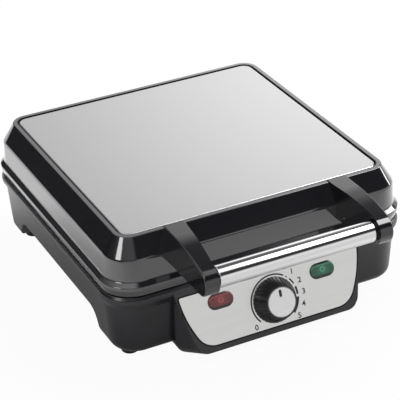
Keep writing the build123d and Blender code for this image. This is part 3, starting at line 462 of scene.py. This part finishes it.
# ---- finishes on the frame's own pieces
FINISHES = {
    "gloss_black": gloss_black(),
    "satin_black": satin_black(),
    "arm_black": arm_black(),
    "lid_steel": brushed_steel("lid_steel", tint=grey(0.585), roughness=0.20, contrast=0.012),
    "panel_steel": brushed_steel("panel_steel", tint=(0.65, 0.65, 0.645), roughness=0.22, contrast=0.03),
    "bright_metal": bright_metal(),
    "satin_metal": satin_disc(),
    "knob_plastic": ribbed_plastic(),
    "foot_rubber": foot_rubber(),
    "red_lens": coloured_lens(
        "power_lens", "red_lens", deep=(0.085, 0.012, 0.015), lit=(0.30, 0.05, 0.05)
    ),
    "green_lens": coloured_lens(
        "ready_lens", "green_lens", deep=(0.008, 0.060, 0.036), lit=(0.06, 0.30, 0.18)
    ),
    "coated_casting": coated_casting(),
    "screw_steel": plain_metal("screw_steel", tint=(0.62, 0.62, 0.60), roughness=0.28),
    "pin_steel": plain_metal("pin_steel", tint=grey(0.62), roughness=0.25),
    "element_sheath": plain_metal("element_sheath", tint=(0.30, 0.28, 0.26), roughness=0.4),
    "zinc_sheet": plain_metal("zinc_sheet", tint=(0.60, 0.61, 0.63), roughness=0.38, grain_scale=300.0),
    "fuse_case": plain_plastic("fuse_case", tint=(0.70, 0.68, 0.60), roughness=0.7),
    "cable_sleeve": plain_plastic("cable_sleeve", tint=grey(0.020), roughness=0.45),
    "lamp_glass": plain_plastic("lamp_glass", tint=(0.80, 0.66, 0.50), roughness=0.15),
    "thermostat_case": plain_plastic("thermostat_case", tint=(0.45, 0.40, 0.33), roughness=0.6),
    "terminal_plastic": plain_plastic("terminal_plastic", tint=(0.72, 0.72, 0.68), roughness=0.5),
    "gland_plastic": plain_plastic("gland_plastic", tint=grey(0.018), roughness=0.4),
}
# nodes whose finish isn't the one with their slot's name
FINISH_OF = {
    "lid_top_plate": "lid_steel",
    "control_panel": "panel_steel",
    "handle_arm_left": "arm_black",
    "handle_arm_right": "arm_black",
}
slot_of = {part["node"]: part["material_slot"] for part in frame["record"]["subparts"]}
for name, node in nodes.items():
    for slot in node.material_slots:
        slot.material = FINISHES[FINISH_OF.get(name, slot_of[name])]


# ---- printing on the panel and the knob
PRINT_THICKNESS = 0.00006


def print_ink():
    """Black ink of the dial and the knob's pointer."""
    finish = material("print_ink", IOR=1.45)
    grain = finish.noise(finish.place(), scale=3000.0)
    dress(
        finish,
        Base_Color=finish.mix(grain, grey(0.010), grey(0.022)),
        Roughness=0.42 + grain * 0.1,
    )
    return finish.material


ink = print_ink()


def thin_plate(name, body, surface, outlines, lift, thickness):
    """A thin plate from flat outlines, each a list of (x, up) on the panel, in metres."""
    mesh = bpy.data.meshes.new(name)
    shape = bmesh.new()
    for outline in outlines:
        low = [shape.verts.new(on_panel(x, up, lift)) for x, up in outline]
        high = [shape.verts.new(on_panel(x, up, lift + thickness)) for x, up in outline]
        shape.faces.new(low[::-1])
        shape.faces.new(high)
        for here in range(len(outline)):
            before = here - 1
            shape.faces.new((low[before], low[here], high[here], high[before]))
    bmesh.ops.recalc_face_normals(shape, faces=shape.faces)
    shape.to_mesh(mesh)
    shape.free()
    mesh.materials.append(surface)
    piece = bpy.data.objects.new(name, mesh)
    bpy.context.scene.collection.objects.link(piece)
    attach(piece, body)


def clock_place(radius, degrees):
    """A place on the panel, at an angle clockwise from the top round the knob's centre."""
    return radius * sin(radians(degrees)), radius * cos(radians(degrees))


def arc_band(start, end, radius, width, step):
    """Outline of a ring's stretch; angles in degrees clockwise from the top."""
    count = int((end - start) / step)
    angles = [start + (end - start) * i / count for i in range(count + 1)]
    outer = [clock_place(radius + width / 2, angle) for angle in angles]
    inner = [clock_place(radius - width / 2, angle) for angle in angles]
    return outer + inner[::-1]


DIAL_RADIUS = 0.0209
DIAL_LINE = 0.0013
RING_START = -132
RING_END = 33
RING_STRETCH = 33
DASHES = ((50, 66, 1.0), (74, 92, 1.4), (98, 135, 1.7))  # start, end, share of the ring's line
DOT_ANGLE = 41
DOT_RADIUS = 0.0007
DOT_STEP = 30


def dial():
    """The ring round the knob, then a dot and three dashes that grow thicker."""
    ring = []
    for start in range(RING_START, RING_END, RING_STRETCH):
        ring.append(arc_band(start, start + RING_STRETCH, DIAL_RADIUS, DIAL_LINE, step=3))
    dashes = []
    for start, end, share in DASHES:
        dashes.append(arc_band(start, end, DIAL_RADIUS, DIAL_LINE * share, step=2))
    middle_x, middle_up = clock_place(DIAL_RADIUS, DOT_ANGLE)
    corners = [clock_place(DOT_RADIUS, angle) for angle in range(0, 360, DOT_STEP)]
    dot = [(middle_x + x, middle_up + up) for x, up in corners]
    thin_plate("dial_ring", "base", ink, ring, 0.0, PRINT_THICKNESS)
    thin_plate("dial_dashes", "base", ink, dashes + [dot], 0.0, PRINT_THICKNESS)


dial()


POINTER_HALF_WIDTH = 0.0012
POINTER_OUTER = 0.0093  # middles of its two round ends, from the knob's axis
POINTER_INNER = 0.0056
POINTER_STEP = 30


def knob_pointer():
    """Mark with two round ends on the knob's disc."""
    outline = []
    for middle, outwards in ((POINTER_OUTER, 0), (POINTER_INNER, 180)):
        for angle in range(outwards - 90, outwards + 91, POINTER_STEP):
            x, up = clock_place(POINTER_HALF_WIDTH, angle)
            outline.append((x, middle + up))
    thin_plate("knob_pointer", "knob", ink, [outline], cap_lift, PRINT_THICKNESS)


knob_pointer()


# ---- painted shade in the groove round the steel face
PANEL_SHADE_WIDTH = 0.0010
PANEL_SHADE_DEPTH = 0.0007
WELD = 0.000001  # corners nearer than this are one corner
SAME_WAY = 0.9999  # cosine of the angle between a face and the panel
SAME_LEVEL = 0.00005  # how far below the very front a face may lie


def seam_black():
    """Matt black of the painted shade in the groove round the steel face."""
    finish = material("seam_black", Metallic=1.0)
    grain = finish.noise(finish.place(), scale=3000.0)
    dress(
        finish,
        Base_Color=finish.mix(grain, grey(0.001), grey(0.004)),
        Roughness=0.5 + grain * 0.1,
    )
    return finish.material


def front_faces(shape):
    """Faces of the panel's shape that lie flat at its very front."""
    level = max((vertex.co - knob_centre).dot(panel_normal) for vertex in shape.verts)
    front = set()
    for face in shape.faces:
        lift = (face.calc_center_median() - knob_centre).dot(panel_normal)
        if face.normal.dot(panel_normal) > SAME_WAY and lift > level - SAME_LEVEL:
            front.add(face)
    return front


def front_outline(node):
    """Outer edge of a node's flat front, corner by corner as (x, up) on the panel, back to the first."""
    shape = bmesh.new()
    shape.from_mesh(node.data)
    bmesh.ops.remove_doubles(shape, verts=shape.verts, dist=WELD)
    shape.normal_update()
    front = front_faces(shape)
    neighbours = {}
    for edge in shape.edges:
        if len(front.intersection(edge.link_faces)) == 1:
            one, other = edge.verts
            neighbours.setdefault(one, []).append(other)
            neighbours.setdefault(other, []).append(one)
    start = max(neighbours, key=lambda vertex: (vertex.co - knob_centre).length)
    loop = [start, neighbours[start][0]]
    while loop[-1] is not start:
        loop.append(next(vertex for vertex in neighbours[loop[-1]] if vertex is not loop[-2]))
    offsets = [vertex.co - knob_centre for vertex in loop]
    shape.free()
    return [(offset.x, offset.dot(panel_up)) for offset in offsets]


def grown(outline, distance):
    """A closed outline moved outwards; its first corner stands again at its end."""
    corners = outline[:-1]
    area = sum(x * outline[i + 1][1] - outline[i + 1][0] * up for i, (x, up) in enumerate(corners))
    side = distance if area > 0 else -distance
    moved = []
    for i, (x, up) in enumerate(corners):
        before = Vector(corners[i - 1])
        after = Vector(outline[i + 1])
        way = (after - before).normalized()
        moved.append((x + way.y * side, up - way.x * side))
    return moved + moved[:1]


def panel_seal():
    """Black band of painted shade in the groove between the steel face and the moulding round it, in two halves.
    """
    inner = front_outline(nodes["control_panel"])
    outer = grown(inner, PANEL_SHADE_WIDTH)
    half = len(inner) // 2
    bands = [inner[: half + 1] + outer[: half + 1][::-1], inner[half:] + outer[half:][::-1]]
    # painted shade: a black band fills the groove round the steel face
    thin_plate("panel_seal", "base", seam_black(), bands, -PANEL_SHADE_DEPTH, PANEL_SHADE_DEPTH)


panel_seal()


# ---- numbers beside the dial
NUMBER_RADIUS = 0.0268
NUMBER_HEIGHT = 0.0064
NUMBER_WEIGHT = 0.00012
NUMBER_ANGLES = (-132, 46, 68, 90, 112, 134)


def dial_number(text, angle):
    """A plain number beside the dial."""
    curve = bpy.data.curves.new(f"dial_number_{text}", "FONT")
    curve.body = text
    curve.size = NUMBER_HEIGHT
    curve.align_x = "CENTER"
    curve.align_y = "CENTER"
    curve.offset = NUMBER_WEIGHT
    curve.extrude = PRINT_THICKNESS / 2
    curve.materials.append(ink)
    piece = bpy.data.objects.new(f"dial_number_{text}", curve)
    bpy.context.scene.collection.objects.link(piece)
    spot = on_panel(*clock_place(NUMBER_RADIUS, angle), PRINT_THICKNESS / 2)
    turn = Matrix((Vector((1, 0, 0)), panel_up, panel_normal)).transposed().to_4x4()
    piece.matrix_world = Matrix.Translation(spot) @ turn
    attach(piece, "base")


for number, angle in enumerate(NUMBER_ANGLES):
    dial_number(str(number), angle)


# ---- studio
FLOOR_REACH = 14.0
# share of plain white in what is seen of the floor: straight on, mirrored and through glass
WHITE_SEEN = 0.955
WHITE_MIRRORED = 0.12
WHITE_THROUGH = 0.93
# the paper itself, with a painted shadow: its level near its middle and away from it, and its share in front,
# where it is painted darker
SHADE_CENTRE = (-0.04, -0.03, 0.0)
SHADE_INNER = 0.125
SHADE_INNER_LEVEL = 0.32
SHADE_OUTER = 0.27
SHADE_OUTER_LEVEL = 0.84
FRONT_START = -0.34
FRONT_END = -0.12
FRONT_SHARE = 0.62


def floor_paper():
    """White where it is seen, with a faint shadow; its colour holds a painted shadow near the base and painted
    shade in front, so it lights the base less from below and in front.
    """
    surface = bpy.data.materials.new("floor_paper")
    surface.use_nodes = True
    surface.node_tree.nodes.clear()
    finish = Finish(surface.node_tree)
    rays = ("Is Camera Ray", "Is Glossy Ray", "Is Transmission Ray")
    seen, mirrored, through = finish.outputs("ShaderNodeLightPath", rays)
    white_share = seen * WHITE_SEEN + mirrored * WHITE_MIRRORED + through * WHITE_THROUGH
    # painted shadow: the paper's colour is darker near the base and in front
    from_middle = finish.length(finish.from_point(SHADE_CENTRE))
    away = from_middle.fade(SHADE_INNER, SHADE_OUTER)
    shade = finish.mix(away, grey(SHADE_INNER_LEVEL), grey(SHADE_OUTER_LEVEL))
    x, y, z = finish.parts(finish.place())
    shade = finish.scaled(shade, y.fade(FRONT_START, FRONT_END, FRONT_SHARE, 1.0))
    paper = finish.node("ShaderNodeBsdfDiffuse", {}, {"Color": shade})
    white = finish.node("ShaderNodeEmission", {}, {"Color": grey(1.0), "Strength": 1.0})
    mixed = finish.node("ShaderNodeMixShader", {}, {0: white_share, 1: paper, 2: white})
    finish.node("ShaderNodeOutputMaterial", {}, {"Surface": mixed})
    return surface


def floor():
    """Wide sheet of paper under the appliance."""
    mesh = bpy.data.meshes.new("floor")
    corners = [(x * FLOOR_REACH, y * FLOOR_REACH, 0.0) for x, y in ((-1, -1), (1, -1), (1, 1), (-1, 1))]
    mesh.from_pydata(corners, [], [(0, 1, 2, 3)])
    mesh.materials.append(floor_paper())
    piece = bpy.data.objects.new("floor", mesh)
    bpy.context.scene.collection.objects.link(piece)


floor()


WORLD_STRENGTH = 10.0
LOW_BOARD_LIGHT = 0.75
CARD_LIGHT = 6.0
CARD_DIRECTION = (-0.80, -0.24, 0.55)


def studio_world():
    """A strip light overhead at the right, paper low behind, dark boards between and at the left."""
    world = bpy.data.worlds.new("studio")
    bpy.context.scene.world = world
    world.use_nodes = True
    world.node_tree.nodes.clear()
    finish = Finish(world.node_tree)
    direction = finish.node("ShaderNodeTexCoord", out="Generated")
    x, y, z = finish.parts(direction)
    tilt = (0 - y).angle_with(z) / pi + 0.5

    def ramp(value, stops):
        """Light by a value from 0 to 1; the ramp's levels are shares of the world's strength."""
        shares = [(place, light / WORLD_STRENGTH) for place, light in stops]
        return finish.node("ShaderNodeValToRGB", {"stops": shares}, {0: value})

    def tilted(*stops):
        """Light by the angle from straight up, in degrees, positive to the front."""
        return ramp(tilt, [(degrees / 180 + 0.5, light) for degrees, light in stops])

    # the right half: pairs of angle and light, from the back over the top to the front
    front = ((56, 0.03), (60, 0.04), (64, 0.35), (69, 0.80), (75, 0.94), (90, 0.94))
    low_behind = ((-90, 0.55), (-74, 0.75), (-66, 1.25), (-58, 0.95), (-53, 0.60), (-48, 0.36))
    over_the_top = ((-34, 0.30), (-26, 0.12), (-13, 0.16), (-6, 1.3), (24, 1.3), (29, 0.3), (32, 0.05))
    boards = tilted(*low_behind, *over_the_top, *front)
    strip = tilted((-20, 0.10), (-13, 0.30), (-6, 9.0), (26, 9.0), (33, 0.5), (39, 0.05), *front)
    steep = tilted((-52, 0.45), (-46, 0.14), (-26, 0.12), (-16, 0.12))
    sloping = tilted((-52, 1.00), (-46, 0.75), (-38, 0.25), (-16, 0.14))
    leaning = finish.mix(x.fade(0.38, 0.46), steep, sloping)
    overhead = finish.mix(x.fade(0.38, 0.45), boards, strip)
    in_front = tilt.fade(0.42, 0.44)
    right = finish.mix(in_front, leaning, overhead)
    paper = x.fade(0.22, 0.52, 0.68, 1.6) * x.fade(0.50, 0.66, 1.0, 0.55)
    far_behind = tilt.fade(0.205, 0.240, 1.0, 0.0)
    right = finish.mix(far_behind, right, finish.scaled(boards, paper))

    # the left half, by height, with a dark board low in front
    left = ramp(z, [(0, 0.04), (0.20, 0.04), (0.35, 0.12), (0.60, 0.5), (0.85, 1.2), (1, 1.2)])
    low_in_front = y.fade(-0.85, -0.50, 1.0, 0.0) * z.fade(0.20, 0.36, 1.0, 0.0)
    left = finish.mix(low_in_front, left, grey(LOW_BOARD_LIGHT / WORLD_STRENGTH))

    # both halves, and a small bright card high at the left
    colour = finish.mix(x.fade(-0.15, 0.12), left, right)
    card = finish.along(direction, CARD_DIRECTION).fade(0.975, 0.990)
    colour = finish.mix(card, colour, grey(CARD_LIGHT / WORLD_STRENGTH))
    glow = finish.node("ShaderNodeBackground", {}, {"Color": colour, "Strength": WORLD_STRENGTH})
    finish.node("ShaderNodeOutputWorld", {}, {"Surface": glow})


studio_world()


LAMP_SIZE = 2.4
LAMP_WATTS = 8.0
LAMP_PLACE = (-0.3, -0.5, 2.2)


def overhead_lamp():
    """Wide lamp above the table that lifts the floor to white; it isn't mirrored in the gloss."""
    lamp = bpy.data.lights.new("overhead", "AREA")
    lamp.shape = "DISK"
    lamp.size = LAMP_SIZE
    lamp.energy = LAMP_WATTS
    piece = bpy.data.objects.new("overhead", lamp)
    bpy.context.scene.collection.objects.link(piece)
    piece.location = LAMP_PLACE
    piece.rotation_euler = (-piece.location).to_track_quat("-Z", "Y").to_euler()
    piece.visible_glossy = False


overhead_lamp()


CAMERA_PLACE = (-0.5208, -1.0940, 0.7493)
CAMERA_AZIMUTH = radians(-25.33)
CAMERA_ELEVATION = radians(29.41)
CAMERA_ROLL = radians(-2.36)
LENS_MM = 146.45
SENSOR_MM = 36.0


def camera():
    """Long lens from the front left, above the lid."""
    level = cos(CAMERA_ELEVATION)
    back = Vector((sin(CAMERA_AZIMUTH) * level, -cos(CAMERA_AZIMUTH) * level, sin(CAMERA_ELEVATION)))
    right = (-back).cross(Vector((0, 0, 1))).normalized()
    up = right.cross(-back)
    turned_right = right * cos(CAMERA_ROLL) + up * sin(CAMERA_ROLL)
    turned_up = up * cos(CAMERA_ROLL) - right * sin(CAMERA_ROLL)
    lens = bpy.data.cameras.new("view")
    lens.lens = LENS_MM
    lens.sensor_width = SENSOR_MM
    piece = bpy.data.objects.new("view", lens)
    bpy.context.scene.collection.objects.link(piece)
    turn = Matrix((turned_right, turned_up, back)).transposed().to_4x4()
    piece.matrix_world = Matrix.Translation(CAMERA_PLACE) @ turn
    bpy.context.scene.camera = piece


camera()
bpy.context.scene.view_settings.view_transform = "Standard"
